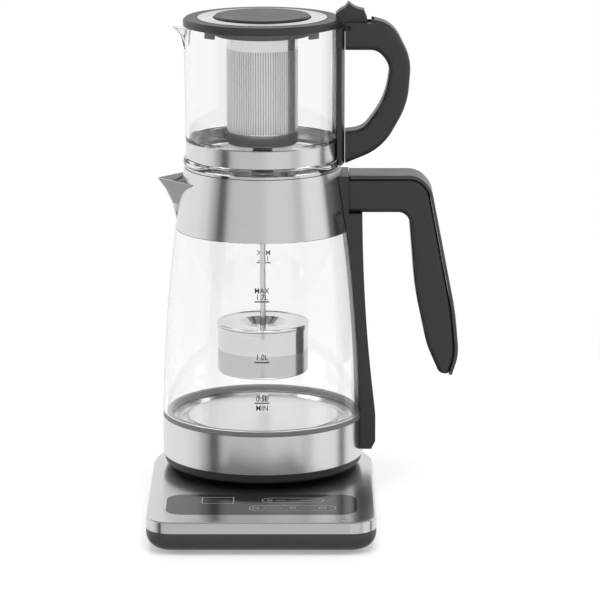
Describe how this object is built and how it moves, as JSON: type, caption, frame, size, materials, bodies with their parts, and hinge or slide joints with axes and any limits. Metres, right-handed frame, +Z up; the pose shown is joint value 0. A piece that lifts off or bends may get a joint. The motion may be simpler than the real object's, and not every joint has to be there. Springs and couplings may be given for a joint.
{
  "type": "automatic tea maker",
  "caption": "Glass kettle with a steel collar and handle on a flat power base with a touch panel, and a small glass teapot with an infuser stacked on its mouth.",
  "frame": {"origin": "on the kettle's axis, on the surface the feet stand on", "axes": "+X towards the handles, +Y towards the rounded back of the base, +Z up; the touch panel is at -Y"},
  "size_m": [0.2364, 0.2595, 0.3886],
  "materials": {
    "dark_plastic": "satin",
    "black_plastic": "satin",
    "handle_plastic": "satin",
    "cover_plastic": "satin",
    "panel_gloss": "gloss",
    "display_black": "gloss",
    "relay_blue": "satin",
    "circuit_board": "satin",
    "base_steel": "brushed",
    "body_steel": "brushed",
    "mesh_steel": "brushed",
    "rod_steel": "polished",
    "screw_steel": "plain",
    "element_aluminium": "cast",
    "brass_pin": "polished",
    "rubber_black": "matt",
    "kettle_glass": "clear",
    "pot_glass": "clear"
  },
  "bodies": {
    "base": {"base_tray": "dark_plastic", "base_carrier": "dark_plastic", "base_cover": "base_steel", "control_panel": "panel_gloss", "touch_board": "circuit_board", "display_module": "display_black", "buzzer": "display_black", "power_board": "circuit_board", "power_relay": "relay_blue", "base_connector": "black_plastic", "contact_pin": "brass_pin", "cord_gland": "rubber_black", "base_feet": "rubber_black", "base_screws": "screw_steel"},
    "kettle_socket": {"kettle_coupler": "black_plastic"},
    "kettle": {"kettle_cup": "dark_plastic", "kettle_ring": "body_steel", "glass_seal": "rubber_black", "heating_floor": "body_steel", "heating_element": "element_aluminium", "temperature_probe": "body_steel", "kettle_glass": "kettle_glass", "kettle_collar": "body_steel", "spout_strainer": "mesh_steel", "kettle_handle": "handle_plastic", "handle_cover": "cover_plastic", "kettle_spine": "handle_plastic"},
    "kettle_lid": {"kettle_lid": "body_steel", "lid_knob": "black_plastic", "basket_rod": "rod_steel", "basket_cap": "body_steel"},
    "basket": {"basket_can": "body_steel", "basket_strainer": "mesh_steel"},
    "teapot": {"teapot_glass": "pot_glass", "teapot_band": "body_steel", "teapot_spine": "handle_plastic", "teapot_handle": "handle_plastic", "hinge_pin": "rod_steel", "infuser_carrier": "dark_plastic"},
    "teapot_lid": {"teapot_lid": "dark_plastic", "lid_trim_ring": "body_steel"},
    "tea_infuser": {"infuser_neck": "body_steel", "infuser_mesh": "mesh_steel", "infuser_bottom": "mesh_steel", "infuser_cap": "dark_plastic"}
  },
  "joints": [
    {"name": "kettle_lift", "type": "slide", "parent": "base", "child": "kettle_socket", "axis": [0, 0, 1], "range_m": [0, 0.06]},
    {"name": "kettle_turn", "type": "hinge", "parent": "kettle_socket", "child": "kettle", "pos_m": [0, 0, 0.0284], "axis": [0, 0, 1], "continuous": true},
    {"name": "kettle_lid_lift", "type": "slide", "parent": "kettle", "child": "kettle_lid", "axis": [0, 0, 1], "range_m": [0, 0.185]},
    {"name": "basket_pull", "type": "slide", "parent": "kettle_lid", "child": "basket", "axis": [0, 0, 1], "range_m": [-0.02, 0]},
    {"name": "teapot_lift", "type": "slide", "parent": "kettle_lid", "child": "teapot", "axis": [0, 0, 1], "range_m": [0, 0.06]},
    {"name": "teapot_lid_open", "type": "hinge", "parent": "teapot", "child": "teapot_lid", "pos_m": [0.0659, 0, 0.37], "axis": [0, 1, 0], "range_deg": [0, 80]},
    {"name": "infuser_lift", "type": "slide", "parent": "teapot", "child": "tea_infuser", "axis": [0, 0, 1], "range_m": [0, 0.1]}
  ]
}
